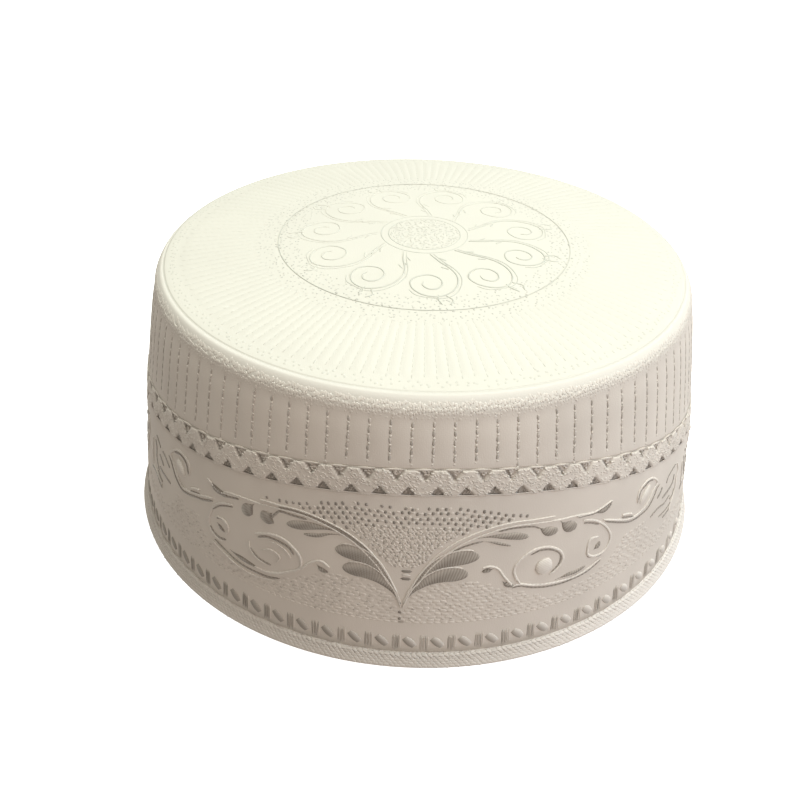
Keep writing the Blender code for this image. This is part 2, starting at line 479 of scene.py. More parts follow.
def make_rim_piping():
    def rim(chart):
        degrees, height = chart.T
        return around(degrees, RIM_RADIUS - RIM_CORD_INSET, height), around(degrees, 1.0, 0.0)

    path = joined(np.arange(-180.0, 180.0, 0.75), RIM_HEIGHT - RIM_CORD_RADIUS)
    batch = Batch()
    sweep(batch, rim, path, RIM_CORD_RADIUS, RIM_CORD_RADIUS, "round", 10, closed=True)
    batch.make("rim_cord", "panel_cloth", replaced="rim_piping")


# Side wall over the belt

WALL_COLUMNS = 96
WALL_COLUMN_OFFSET = -1.85
WALL_STITCH_TOP = 77.0
WALL_STITCH_PITCH = 2.45
WALL_PUFF = 0.16


def make_crown_side():
    columns = row_columns(WALL_COLUMNS, WALL_COLUMN_OFFSET - 180.0,
                          (0.0, 0.1, 0.28, 0.5, 0.72, 0.9))
    foot = belt_line(columns) + 0.5 * SEAM_GAP
    recess = belt_line(columns) + BRAID_TOP + BRAID_MARGIN
    share = np.linspace(0.0, 1.0, 36)[:, None]
    top = RIM_HEIGHT - 0.1
    outer_heights = recess + (top - recess) * share
    quilted = ramp(outer_heights, recess + 1.5, recess + 4.0)
    quilted = quilted * (1.0 - ramp(outer_heights, 75.0, 79.0))
    lift = WALL_PUFF * quilted * (puff(columns, WALL_COLUMNS, WALL_COLUMN_OFFSET) - 0.7)
    radius = cloth_radius(outer_heights) + lift
    radius -= 0.1 * (1.0 - ramp(outer_heights, recess, recess + 1.6))
    radius -= 0.7 * ramp(outer_heights, top - 1.4, top) ** 2
    sunk_heights = np.stack([foot, recess - 0.1])
    inner_heights = SIDE_TOP + (foot - SIDE_TOP) * np.linspace(0.0, 1.0, 10)[:, None]
    heights = np.concatenate([sunk_heights, outer_heights, inner_heights])
    radii = np.concatenate([wall_radius(sunk_heights) - BELT_RECESS, radius,
                            wall_radius(inner_heights) - WALL_THICKNESS])
    # Painted light: the cloth is coloured paler where it turns over under the rim, as the top light
    # would brighten it
    painted_light = ramp(heights, 76.0, 81.0)
    batch = Batch()
    ring_shell(batch, around(columns, radii, heights), joined(columns * ARC, heights), painted_light)
    batch.make("crown_wall", "crown_cloth", "crown_side")


def make_wall_stitches():
    """Columns of running stitch: dashes darker than the cloth, partly thread colour and partly
    painted shade of the sunk stitch, with a small light pucker between them.
    """
    rng = np.random.default_rng(11)
    dashes = []
    puckers = []
    for column in range(WALL_COLUMNS):
        degrees = WALL_COLUMN_OFFSET + column * 360.0 / WALL_COLUMNS
        foot = float(belt_line(degrees)) + BELT_RECESS_EDGE + 1.3
        start = WALL_STITCH_TOP + rng.uniform(-0.3, 0.3)
        for row in range(int((start - foot) / WALL_STITCH_PITCH) + 1):
            height = start - WALL_STITCH_PITCH * (row + 0.5)
            dashes.append((degrees + rng.normal(0.0, 0.04), height))
            puckers.append((degrees + rng.normal(0.0, 0.05), height - 0.5 * WALL_STITCH_PITCH))
    count = len(dashes)
    dark = Batch()
    stitches(dark, on_wall, dashes, 86.0 + rng.normal(0.0, 5.0, count),
             rng.uniform(1.5, 2.0, count), 0.78, 0.2, -0.06, rng.uniform(0.0, 1.0, count))
    dark.make("running_stitch", "running_thread")
    light = Batch()
    stitches(light, on_wall, puckers, 30.0, 0.8, 0.7, 0.22, -0.05, 0.1)
    light.make("running_stitch_puckers", "ground_thread")


# Rows of slanting stitches under the rim: height, how many, length and paleness. The paleness is
# painted light, greater toward the rim.
SHOULDER_ROWS = ((80.7, 430, 1.5, 0.9), (79.5, 400, 1.2, 0.75), (78.4, 330, 1.0, 0.55),
                 (77.4, 170, 0.9, 0.35))


def make_shoulder_stitches():
    """Short slanting stitches, paler toward the rim as painted light, each light one with a darker
    stitch beside it as painted shade in the gap.
    """
    rng = np.random.default_rng(12)
    batch = Batch()
    for height, count, length, painted_light in SHOULDER_ROWS:
        degrees = np.arange(count) * 360.0 / count + rng.normal(0.0, 0.1, count)
        tilt = np.where(np.arange(count) % 2 == 0, 68.0, 112.0) + rng.normal(0.0, 13.0, count)
        centres = joined(degrees, height + rng.normal(0.0, 0.25, count))
        lengths = length * rng.uniform(0.75, 1.15, count)
        stitches(batch, on_wall, centres, tilt, 1.3 * lengths, 0.9, 0.1, -0.02, 1.0 - painted_light,
                 grain=SOFT_GRAIN)
        stitches(batch, on_wall, centres + (180.0 / count, 0.0), tilt, 0.8 * lengths, 0.4, 0.1,
                 shade=1.0 - 0.6 * painted_light * rng.uniform(0.3, 1.0, count), grain=SOFT_GRAIN)
    batch.make("shoulder_stitch", "shoulder_thread")


# Belt

ZIGZAGS = 72
ZIGZAG_OFFSET = 2.9
ZIGZAG_PITCH = 360.0 / ZIGZAGS
BRAID_TOP = 3.1
BRAID_FOOT = 3.75
BRAID_MARGIN = 0.3
BRAID_SEEDS = 6000
LOWER_NOTCH = 2.3
UPPER_NOTCH = 3.0
NOTCH_HALF = 1.3
UPPER_NOTCH_SHIFT = 0.4


def upper_notch_place(degrees):
    """Degrees from the middle of the nearest upper notch."""
    place = (degrees - ZIGZAG_OFFSET - UPPER_NOTCH_SHIFT) % ZIGZAG_PITCH
    return place - 0.5 * ZIGZAG_PITCH


def zigzag_inside(degrees, offset):
    """Distance, in millimetres, inside the zigzag ribbon's edges; negative in its notches."""
    half = ZIGZAG_PITCH / 2.0
    lower_phase = np.abs((degrees - ZIGZAG_OFFSET + half) % ZIGZAG_PITCH - half)
    upper_phase = np.abs(upper_notch_place(degrees))
    lower_edge = -BRAID_FOOT + LOWER_NOTCH * (1.0 - lower_phase / NOTCH_HALF)
    upper_edge = BRAID_TOP - UPPER_NOTCH * (1.0 - upper_phase / NOTCH_HALF)
    return np.minimum(offset - lower_edge, upper_edge - offset)


def belt_surface(chart):
    """Wall points at (degrees, height from the belt's middle)."""
    degrees, offset = np.moveaxis(np.asarray(chart, float), -1, 0)
    return on_wall(joined(degrees, belt_line(degrees) + offset))


def make_belt():
    columns = np.arange(0.0, 360.0, 0.3125) - 180.0
    offsets = np.linspace(-BRAID_FOOT - 0.2, BRAID_TOP + 0.2, 26)[:, None]
    inside = zigzag_inside(columns, offsets)
    raised = ramp(inside, -0.2, 0.25)
    edge = ramp(offsets, BRAID_TOP - 0.2, BRAID_TOP + 0.2)
    edge = edge + ramp(-offsets, BRAID_FOOT - 0.2, BRAID_FOOT + 0.2)
    lift = (-0.3 + 0.65 * raised) * (1.0 - 0.5 * edge)
    # Painted shade: the sunk notches are coloured darker, the upper ones darkest along their left
    # edge as a painted shadow
    painted_edge_shadow = 1.0 - ramp(upper_notch_place(columns), -0.1, 0.4)
    upper_shade = 0.14 + 0.76 * painted_edge_shadow * (1.0 - ramp(-inside, 0.9, 1.6))
    depth = np.where(offsets > 0.0, upper_shade, 0.72)
    inner_offsets = np.array([[BELT_HALF_HEIGHT], [-BELT_HALF_HEIGHT]])
    heights = belt_line(columns) + np.concatenate([offsets, inner_offsets])
    radii = wall_radius(heights)
    radii[:-2] += lift
    radii[-2:] += SEAM_GAP - BELT_RECESS
    shade = np.zeros_like(heights)
    shade[:-2] = (1.0 - raised) * depth
    batch = Batch()
    ring_shell(batch, around(columns, radii, heights), joined(columns * ARC, heights), shade)
    rng = np.random.default_rng(13)
    centres = joined(rng.uniform(-180.0, 180.0, BRAID_SEEDS),
                     rng.uniform(-BRAID_FOOT, BRAID_TOP, BRAID_SEEDS))
    place = zigzag_inside(centres[:, 0], centres[:, 1])
    kept = centres[place > 0.25]
    flecks = rng.uniform(0.0, 1.0, len(kept)) < 0.16
    stitches(batch, belt_surface, kept, rng.uniform(-60.0, 25.0, len(kept)),
             np.where(flecks, 0.9, 1.15), np.where(flecks, 0.4, 0.7), 0.3, 0.28,
             np.where(flecks, 0.4, rng.uniform(0.0, 0.1, len(kept))))
    sunk = centres[(place < -0.2) & (centres[:, 1] < 0.0)]
    stitches(batch, belt_surface, sunk, rng.normal(60.0, 25.0, len(sunk)), 1.2, 0.35, 0.3,
             -0.22, rng.uniform(0.35, 0.9, len(sunk)))
    to_right = 0.9 * ramp(upper_notch_place(centres[:, 0]), -0.2, 0.2)
    filling = centres[(place < -1.3 + to_right) & (centres[:, 1] > 0.0)]
    stitches(batch, belt_surface, filling, rng.uniform(-60.0, 25.0, len(filling)), 1.0, 0.6,
             0.3, -0.1, rng.uniform(0.0, 0.16, len(filling)))
    batch.make("zigzag_braid", "braid", "belt")


def make_belt_cord(name, replaced, offset, half_width, height, tone):
    """A cord beside the braid, thicker and paler between the braid's lower notches."""
    degrees = np.linspace(-180.0, 180.0, 1152, endpoint=False)
    bulge = -np.cos(np.radians(degrees - ZIGZAG_OFFSET) * ZIGZAGS)
    batch = Batch()
    sweep(batch, belt_surface, joined(degrees, offset), half_width + 0.13 * bulge,
          height + 0.08 * bulge, "round", 7, lift=0.03, closed=True,
          shade=lambda share, across, wave: tone - 0.12 * bulge[:, None])
    batch.make(name, "ground_thread", replaced=replaced)


# Band under the belt

def make_band():
    columns = np.arange(0.0, 360.0, 0.8) - 180.0
    top = belt_line(columns) - 0.5 * SEAM_GAP
    recess = belt_line(columns) - BRAID_FOOT - BRAID_MARGIN
    sunk_heights = np.stack([top, recess + 0.1])
    share = np.concatenate([[0.0, 0.012, 0.024], np.linspace(0.036, 1.0, 16)])[:, None]
    foot = HEM_HEIGHT - 0.4
    outer_heights = recess + (foot - recess) * share
    drawn_in = 0.2 * ramp(outer_heights, recess - 1.2, recess)
    lap_heights = np.full((2, len(columns)), foot)
    lap_heights[1] = HEM_FOLD_THICKNESS + SEAM_GAP
    inner_heights = lap_heights[1] + (top - lap_heights[1]) * np.linspace(0.0, 1.0, 12)[:, None]
    heights = np.concatenate([sunk_heights, outer_heights, lap_heights, inner_heights])
    radii = np.concatenate([wall_radius(sunk_heights) - BELT_RECESS,
                            wall_radius(outer_heights) - drawn_in,
                            wall_radius(lap_heights) - HEM_RECESS,
                            wall_radius(inner_heights) - WALL_THICKNESS])[::-1]
    heights = heights[::-1]
    batch = Batch()
    ring_shell(batch, around(columns, radii, heights), joined(columns * ARC, heights))
    batch.make("border_band", "wall_cloth", "band")


HEM_ROWS = 5
HEM_STITCHES = 380
HEM_FIRST_ROW = 0.85
HEM_ROWS_REACH = HEM_HEIGHT - 1.5
HEM_TOP_ROUNDING = 1.1
HEM_FOOT_ROUNDING = 0.5
HEM_SPREAD = 0.45


def hem_radius(height):
    """Outside of the hem binding, which spreads a little and is rounded at its top and foot."""
    spread = (HEM_FLARE + HEM_SPREAD) * (1.0 - height / HEM_HEIGHT)
    top = np.clip((height - HEM_HEIGHT) / HEM_TOP_ROUNDING + 1.0, 0.0, 1.0)
    foot = np.clip(1.0 - height / HEM_FOOT_ROUNDING, 0.0, 1.0)
    turned_in = HEM_TOP_ROUNDING * (1.0 - np.sqrt(1.0 - top ** 2))
    turned_in = turned_in + HEM_FOOT_ROUNDING * (1.0 - np.sqrt(1.0 - foot ** 2))
    return wall_radius(height) + HEM_PROUD + spread - turned_in


def hem_surface(chart):
    """Points of the hem binding at chart points (degrees, height), and its outward normals."""
    degrees, height = chart.T
    slope = (hem_radius(height - 0.1) - hem_radius(height + 0.1)) / 0.2
    return around(degrees, hem_radius(height), height), unit(around(degrees, 1.0, slope))


def hem_painted_shade(degrees):
    """Painted shade of the binding: darker on the cap's front and left, paler toward the cap's
    right where the side light falls.
    """
    return 0.52 - 0.46 * ramp(np.sin(np.radians(degrees)), 0.0, 0.7)


def make_hem():
    columns = np.arange(0.0, 360.0, 0.6) - 180.0
    rounding = HEM_FOOT_ROUNDING
    heights = np.linspace(HEM_HEIGHT, 0.0, 26)
    ridge = np.abs(np.sin(np.pi * HEM_ROWS * heights / HEM_HEIGHT)) ** 0.7
    foot = float(wall_radius(0.0))
    slot_outside = foot - HEM_RECESS + SEAM_GAP
    slot_inside = foot - WALL_THICKNESS - SEAM_GAP
    inside = slot_inside - HEM_FOLD_THICKNESS
    fold = [(inside + rounding, 0.0), (inside, rounding), (inside, HEM_HEIGHT),
            (slot_inside, HEM_HEIGHT), (slot_inside, HEM_FOLD_THICKNESS),
            (slot_outside, HEM_FOLD_THICKNESS), (slot_outside, HEM_HEIGHT)]
    outside = joined(hem_radius(heights) + 0.05 * ridge - 0.05, heights)
    radii, heights = np.concatenate([outside, fold])[::-1].T[..., None]
    shade = np.zeros_like(radii) + hem_painted_shade(columns)
    # Painted shade in the grooves between the rows of twill
    shade[len(fold):] += 0.1 * (1.0 - ridge[::-1, None])
    batch = Batch()
    ring_shell(batch, around(columns, radii, heights), joined(columns * ARC, heights), shade)
    rng = np.random.default_rng(17)
    for row in range(HEM_ROWS):
        degrees = (np.arange(HEM_STITCHES) + 0.5 * (row % 2)) * 360.0 / HEM_STITCHES
        height = HEM_FIRST_ROW + HEM_ROWS_REACH * row / (HEM_ROWS - 1.0)
        height = height + rng.normal(0.0, 0.05, HEM_STITCHES)
        stitches(batch, hem_surface, joined(degrees, height),
                 -17.0 + rng.normal(0.0, 7.0, HEM_STITCHES), 2.2, 0.95, 0.12, -0.02,
                 hem_painted_shade(degrees) + rng.uniform(-0.03, 0.06, HEM_STITCHES), grain=SOFT_GRAIN)
    batch.make("hem_twill", "hem_cloth", "hem_binding")


# Bars and slanting diamonds over the hem

BARS = 74
BAR_OFFSET = 1.6
BAR_MIDDLE = 7.8
BAR_LENGTH = 6.4


def diamond_shade(degrees):
    """Painted shade of a slanting pad: darker along its lower edge, between its threads and toward
    the cap's left, away from the light, and paler toward the cap's right.
    """
    tone = 0.54 - 0.62 * math.sin(math.radians(degrees))
    return lambda share, across, wave: np.clip(
        tone + 0.4 * ramp(across, -0.7, 0.6) - 0.06 * wave, 0.0, 1.0)


def make_bars():
    pitch = 360.0 / BARS
    degrees = BAR_OFFSET + pitch * np.arange(BARS)
    dark = Batch()
    light = Batch()
    diamonds = Batch()
    rng = np.random.default_rng(18)
    # Painted shade: bars and their light strands on the cap's left, away from the light, are
    # coloured darker
    left_painted_shade = 0.3 * ramp(-np.sin(np.radians(degrees)), 0.1, 0.5)
    for step in (-0.48, 0.0, 0.48):
        centres = joined(degrees + step, BAR_MIDDLE + rng.normal(0.0, 0.15, BARS))
        stitches(dark, on_wall, centres, 90.0 + rng.normal(0.0, 2.0, BARS),
                 BAR_LENGTH * rng.uniform(0.85, 1.0, BARS), 0.52, 0.22, -0.02,
                 left_painted_shade + rng.uniform(0.0, 0.5, BARS))
    for step in (-0.24, 0.24, 0.82):
        stitches(light, on_wall, joined(degrees + step, BAR_MIDDLE), 90.0, 0.95 * BAR_LENGTH,
                 0.22, 0.26, 0.02,
                 0.15 if step > 0.5 else 2.0 * left_painted_shade + rng.uniform(0.1, 0.8, BARS))
    for middle in degrees + 0.5 * pitch:
        spine = [(middle - 0.9, BAR_MIDDLE + 1.45), (middle, BAR_MIDDLE + 0.1),
                 (middle + 0.9, BAR_MIDDLE - 1.45)]
        sweep(diamonds, on_wall, wall_path(spine, 0.25),
              lambda t: 1.25 * np.sin(np.pi * np.clip(t, 0.1, 0.9)) ** 0.25,
              lambda t: 0.12 + 0.26 * np.sin(np.pi * np.clip(t, 0.0, 1.0)) ** 0.5,
              ridge=(0.6, 0.04, 0.6), shade=diamond_shade(middle))
    dark.make("bar_stitch", "satin_thread")
    light.make("bar_edging", "light_thread")
    diamonds.make("satin_diamonds", "light_thread")


# Scroll border. Chart points are (degrees from the V's axis, height), as they lie at the front.

FRONT_AXIS = -2.4
CHART_HALF_WIDTH = 66.5
FRIEZE_FOOT = 12.0


def frieze_halves():
    """(axis, half width, side) of the six mirrored halves of the border."""
    rear_half = (360.0 - 2.0 * CHART_HALF_WIDTH) / 4.0
    rear = CHART_HALF_WIDTH + rear_half
    spans = ((FRONT_AXIS, CHART_HALF_WIDTH), (FRONT_AXIS + rear, rear_half),
             (FRONT_AXIS - rear, rear_half))
    return [(axis, half, side) for axis, half in spans for side in (1.0, -1.0)]


def to_wall(points, half):
    """Border chart points set on the wall, drawn in or out to stay under the belt."""
    axis, half_width, side = half
    across, height = np.asarray(points, float).T
    degrees = axis + side * across * half_width / CHART_HALF_WIDTH
    there = belt_line(degrees) - CORD_OFFSET - FRIEZE_FOOT
    front = belt_line(FRONT_AXIS + side * across) - CORD_OFFSET - FRIEZE_FOOT
    over = np.maximum(height - FRIEZE_FOOT, 0.0)
    return joined(degrees, np.minimum(height, FRIEZE_FOOT) + over * there / front)


def cord_taper(share):
    """Full width along a cord, drawn in at its two ends."""
    return np.sqrt(np.clip(np.minimum(share / 0.06, (1.0 - share) / 0.06), 0.05, 1.0))


def leaf_profile(peak):
    """Width of a leaf that starts in a point, is widest at a share and has a round end."""
    def width(share):
        rise = np.sin(0.5 * np.pi * np.clip(share / peak, 0.12, 1.0)) ** 2.0
        fall = np.sqrt(np.clip(1.0 - ((share - peak) / (1.0 - peak)) ** 2, 0.01, 1.0))
        return np.where(share < peak, rise, fall)
    return width


# Lines are (half width, path), leaves (half width, where they are widest, tone, spine) and pads
# (half width, height, spine). The V's lines and leaves are shared by both sides, and its leaves
# have, in place of the tone, how far their tips are moved out at the right and at the left.
# The left side's points are counted leftward.
V_LIGHT = [
    (0.25, [(0.1, 20), (1.5, 26), (2.7, 28.5), (4.4, 33), (6.7, 37), (8.9, 39.9), (11, 41.7),
        (13.4, 43.2), (16.4, 44.4), (19.4, 44.8), (22.4, 44.5), (25.4, 44), (28.4, 43.5),
        (31.9, 43), (35.4, 42)]),
    (0.2, [(0.1, 21.5), (1.6, 27.4), (2.6, 30.5), (4.3, 34.8), (6.4, 38.6), (8.6, 41.2),
        (10.7, 43), (13.2, 44.5), (16.2, 45.6), (19.4, 46), (23, 45.6), (27, 45.2)]),
]
V_LEAVES = [
    (2.3, 0.8, 0.8, -0.3, [(0.9, 24.5), (1.8, 27.2), (3.2, 30.6), (5, 33.6), (7, 35.5),
        (8.8, 36.3), (10.6, 36.6), (12.3, 36.6)]),
    (2.3, 0.78, 0.4, -0.3, [(0.5, 21.8), (1.5, 24.8), (2.9, 27.4), (4.6, 29.6), (6.6, 30.9),
        (8.7, 31.2), (10.9, 31.1)]),
]
RIGHT_LIGHT = [
    (0.42, [(26.5, 26.3), (27.7, 27.1), (28.8, 28.8), (29.1, 31), (28.2, 33.5), (26.3, 35.4),
        (24.3, 36), (22.4, 35.4), (20.6, 33.5), (19.6, 31.1), (19.8, 28.4), (20.8, 25.5)]),
    (0.42, [(19.3, 25.2), (20.8, 25.3), (23.2, 24), (26, 23.1), (28.9, 22.6), (31.5, 22.5),
        (34.1, 22.9), (35.9, 23.8), (37.8, 25)]),
    (0.42, [(33.1, 40.8), (35.2, 39.6), (37.1, 37.7), (38.8, 35), (39.9, 32.1), (40, 30.3),
        (39.6, 28.6), (38.7, 27.1), (37.5, 26.6), (36, 26.9), (34.8, 28.1), (34.5, 29.6),
        (35, 33.1), (36.9, 33.2)]),
    (0.38, [(37.9, 38.1), (40.2, 36.4), (42.4, 34.8), (44.8, 33.3), (46.9, 32.7), (48.5, 33),
        (50.1, 33.5), (51.4, 34.9), (52.4, 36.5), (54.2, 38.4), (53.3, 40.3), (52, 41.6),
        (50.6, 42.1), (48.9, 41.7), (47.8, 40.5), (47.3, 38.6), (47.4, 36.8)]),
    (0.3, [(42.9, 36.1), (44.4, 35.4), (45.9, 34.4)]),
    (0.3, [(31.7, 42.6), (33.5, 42.4), (35.5, 42), (37.2, 42.3), (39.9, 43.2)]),
    (0.34, [(13.8, 32.7), (15.1, 32.9), (16.6, 31.7), (17.8, 28.7), (19.3, 25.5)]),
    (0.4, [(64.4, 35.9), (65.3, 33), (64.4, 31.1), (64.1, 28.4), (63.8, 26.5), (61.8, 23.7),
        (60.9, 21.9)]),
]
RIGHT_DARK = [
    (0.3, [(1.2, 24), (2.8, 28.3), (4.3, 31.3), (6.1, 34.6), (7.1, 36.5), (8.3, 38.4),
        (10.1, 39.9), (12, 40.8), (13.7, 41.3)]),
    (0.3, [(26.8, 26.8), (28, 28.2), (28.6, 30), (28.5, 32.1), (27.4, 33.8), (25.9, 34.8),
        (24.3, 35.1), (22.6, 34.4)]),
    (0.3, [(19.4, 24.5), (20.9, 24.6), (23.2, 23.2), (26, 22.2), (28.9, 21.7), (31.5, 21.8),
        (34.2, 22.2), (36, 23.1), (37.8, 24.2)]),
    (0.4, [(39.6, 28.6), (38.4, 26.6), (37, 26.3), (34.6, 27.7)]),
    (0.3, [(33.3, 39.7), (34.7, 39), (36.9, 37.2)]),
    (0.3, [(38.4, 37.1), (40.2, 35.7), (42.5, 33.9), (44.8, 32.3), (47, 31.6), (48.9, 31.6),
        (51.1, 32), (53, 33.9), (54.3, 36.2), (55.3, 36.6)]),
    (0.3, [(52.5, 40.6), (51, 41.3), (49.6, 40.8), (48.3, 40.2), (47.6, 37)]),
    (0.28, [(42.9, 35.3), (44.4, 34.4), (46.3, 33.2)]),
    (0.28, [(32.1, 42.2), (33.7, 41.9), (35.6, 41.4)]),
    (0.3, [(16.4, 43.8), (19.1, 44.1), (22.7, 43.5), (23.9, 42.5)]),
    (0.3, [(63.3, 36.5), (61.3, 36.3), (59.8, 35.9), (58.9, 35), (58.7, 34)]),
    (0.55, [(62.8, 33.4), (62.4, 31.6), (61.4, 30.7), (58.8, 30.3), (57, 30.2)]),
    (0.5, [(56.6, 34.6), (56.2, 33.4), (54.7, 32.2)]),
    (0.3, [(63.3, 27.8), (62.6, 26.2), (60.9, 26.1)]),
    (0.35, [(60.7, 27.8), (58.2, 27.2), (56.3, 27.9), (54.7, 28.1), (52.4, 27.6)]),
    (0.28, [(61.7, 24.1), (60.1, 23.9), (58.1, 24), (55.8, 24.4)]),
    (0.35, [(61.4, 22.6), (60.4, 22.1), (57.9, 22.2)]),
]
RIGHT_LEAVES = [
    (0.8, 0.6, 0.7, [(35.1, 41.5), (36.5, 41.4), (38, 41.2), (39.2, 41.9), (39.9, 42.9)]),
    (1.5, 0.6, 0.58, [(23.8, 42.9), (25, 41.4), (26.2, 40.6), (27.8, 40.3)]),
    (1.8, 0.6, 0.58, [(28.2, 43), (29.2, 41.3), (30.4, 40.2), (31.8, 39.9)]),
    (1.15, 0.75, 0.58, [(12.4, 42.4), (15.2, 42.5), (18.5, 41.8), (22, 40.6)]),
    (0.45, 0.6, 0.7, [(13.8, 41.3), (16, 40.3), (18.7, 38.7)]),
    (0.75, 0.5, 0.7, [(15.7, 32), (14.8, 31.7), (13.7, 31.5)]),
    (0.75, 0.5, 0.7, [(17.4, 27.5), (18.4, 26), (19.7, 25)]),
    (0.65, 0.5, 0.7, [(27.8, 23.7), (30.5, 24.1), (32.2, 24.1), (34.3, 24.6)]),
    (0.9, 0.5, 0.7, [(36, 29.2), (36.9, 30), (37.3, 31.2)]),
]
RIGHT_PADS = [
    (2.6, 0.8, [(24.9, 26.9), (25.3, 29.5), (25.9, 32.1)]),
    (1.4, 0.5, [(48.2, 35.9), (49.8, 37.9), (51.4, 39.9)]),
]
LEFT_LIGHT = [
    (0.42, [(27.9, 33.4), (26.4, 34.3), (24.7, 35.2), (23.2, 35.4), (21.8, 35.1), (20.6, 34.2),
        (18.7, 31.6), (18.3, 28.1), (19.1, 26.3), (20.4, 25.1), (22.4, 23.3), (24.5, 22.2),
        (26.2, 21.9), (27.8, 22.2)]),
    (0.3, [(38.2, 22.9), (36.6, 21.9), (34.7, 20.9), (33, 19.9), (31.2, 19.2), (28.9, 18.8),
        (26.2, 19.2), (23.5, 20.2)]),
    (0.42, [(33.1, 39.1), (34.9, 38.3), (36.7, 36.9), (38.3, 34.4), (39.1, 31.6), (39.4, 29.3),
        (39.1, 27.1), (38.2, 25.7), (36.9, 24.8), (35.3, 25.1)]),
    (0.3, [(37.2, 32.3), (35.6, 32.5), (34.5, 31.6), (34.1, 29.9), (34.7, 28)]),
    (0.38, [(38.3, 37.4), (40.3, 36.3), (42.8, 34.9), (44.7, 33.9), (46.5, 33.1), (48.1, 33),
        (50.4, 35.1), (51.3, 37.1), (52.4, 38.5), (53.1, 39.9), (52, 41.8), (50.6, 43.3),
        (48.6, 44), (47, 43.7), (45.9, 42.6), (45.5, 40.5), (45.7, 38.7)]),
    (0.3, [(45.1, 35.1), (43.8, 36.1), (42.2, 37)]),
    (0.3, [(39.9, 42.9), (38.1, 41.6), (36.5, 41), (34.4, 41.8), (31.5, 42.8)]),
    (0.24, [(29.1, 29.9), (29, 27.9), (28, 26), (26.7, 25), (25.4, 24.6)]),
    (0.22, [(24.6, 32.9), (22.7, 32.7), (21.1, 31.4), (20.3, 29.7)]),
    (0.22, [(26.3, 28.7), (24.8, 30.1), (23.3, 29.8), (22.5, 28.6), (23.1, 26.7)]),
    (0.34, [(18.3, 27.1), (16.6, 30), (14.6, 31.6), (12.9, 30)]),
    (0.4, [(63.7, 35.4), (63.6, 28.8), (63.2, 26.2), (61.2, 25.8), (59, 25), (57.2, 24)]),
]
LEFT_DARK = [
    (0.4, [(0.2, 21.2), (1.5, 26.6), (2.6, 29.5), (4.3, 33.9), (6.5, 37.8), (8.7, 40.5),
        (10.8, 42.3), (13.3, 43.6), (16.3, 44.7), (19.4, 45.1), (23, 44.9)]),
    (0.36, [(27.2, 32.6), (25.7, 33.7), (24.4, 34), (23, 33.9), (21.5, 33.4), (20.5, 32.6),
        (19.7, 31.1)]),
    (0.36, [(37.7, 23.8), (34.5, 22.2), (33, 21.3), (31.3, 20.6), (29.4, 20.3), (26, 20.3),
        (24.3, 20.6), (22.4, 21.4)]),
    (0.4, [(38.9, 27.6), (38.2, 26.5), (37.1, 25.7), (36, 25.5), (34.7, 26.1)]),
    (0.25, [(38.3, 33.7), (36.7, 36), (35.1, 37.3), (33.1, 38.4)]),
    (0.25, [(37.2, 31.6), (36.1, 32.3), (35, 32.2)]),
    (0.36, [(54, 38.4), (52.8, 37.1), (51, 33.9), (48.7, 31.8), (47.2, 31.8), (45.4, 32.4),
        (43.4, 33.5), (41.2, 34.5), (38.3, 36.4)]),
    (0.36, [(51.4, 41.9), (49.3, 42.9), (47.8, 42.7), (46.8, 41.8), (46, 39.1)]),
    (0.28, [(45.1, 34.1), (43.4, 35), (41.8, 35.7)]),
    (0.3, [(35.7, 40.2), (33.9, 41.1), (31.7, 42)]),
    (0.35, [(24.5, 40.5), (23.7, 42.2), (22.7, 43.6), (20.3, 43.7), (17.4, 43.7)]),
    (0.32, [(29, 27.9), (27.4, 26), (26.3, 25.3), (24.3, 24.9)]),
    (0.4, [(61.3, 38.5), (59.8, 37.8), (58.5, 36.6)]),
    (0.4, [(62, 36.4), (61.1, 34.3), (61.1, 31.4), (60.4, 29.2), (59.4, 27.7)]),
    (0.5, [(59, 33.9), (57.8, 33), (56.6, 32)]),
    (0.4, [(57.2, 36.7), (55.6, 35.9), (53.5, 34.3)]),
    (0.45, [(59, 29.5), (57.2, 29.2), (55, 29.2), (53, 29.1)]),
    (0.35, [(60, 26.9), (58.7, 26.1), (57.2, 25.5)]),
    (0.45, [(64.7, 23.9), (62, 24.9), (60.1, 24.3), (58.8, 23.4), (57.5, 22.9)]),
]
LEFT_LEAVES = [
    (1, 0.4, 0.85, [(39.4, 42.8), (38.2, 41.5), (37, 41), (35.8, 40.9), (34.6, 41.1)]),
    (2, 0.62, 0.64, [(28.2, 42.8), (29.2, 41), (29.8, 39.5), (29.9, 37.8)]),
    (2.4, 0.55, 0.64, [(24.3, 42.3), (25, 41), (25.4, 39.8), (25.6, 38.3)]),
    (1.4, 0.75, 0.64, [(10.9, 42), (13.6, 42.4), (16.4, 42.1), (18.7, 41.3), (21.3, 40.5)]),
    (0.6, 0.7, 0.7, [(10.9, 41.4), (13.1, 40.9), (15.3, 39.6), (17.9, 38.9)]),
    (0.75, 0.5, 0.7, [(15.3, 30.2), (14.5, 28.9), (13.2, 28.3)]),
    (0.7, 0.5, 0.7, [(33.7, 23.5), (32.2, 23), (29.4, 22.4), (27.4, 22)]),
    (0.6, 0.5, 0.7, [(37, 30.2), (36.1, 29.3), (35.1, 28.4)]),
]
LEFT_PADS = [
    (1.5, 0.8, [(50, 40.9), (48.6, 39.1), (47.2, 37.3)]),
]


def beside(path, distance):
    """A chart path moved sideways, in millimetres; positive is to its left."""
    flat = path * WALL_SCALE
    heading = unit(np.gradient(flat, axis=0))
    return (flat + distance[:, None] * joined(-heading[:, 1], heading[:, 0])) / WALL_SCALE


def line_shade(tone):
    """Shade of a raised line: painted shade between its stitches, over a tone that darkens it all
    along.
    """
    return lambda share, across, wave: np.clip(tone - 0.08 * wave, 0.0, 1.0)


def gap_shade(share, across, wave):
    """A dark line that breaks up between its stitches."""
    return np.clip(0.65 - 0.2 * wave, 0.0, 1.0)


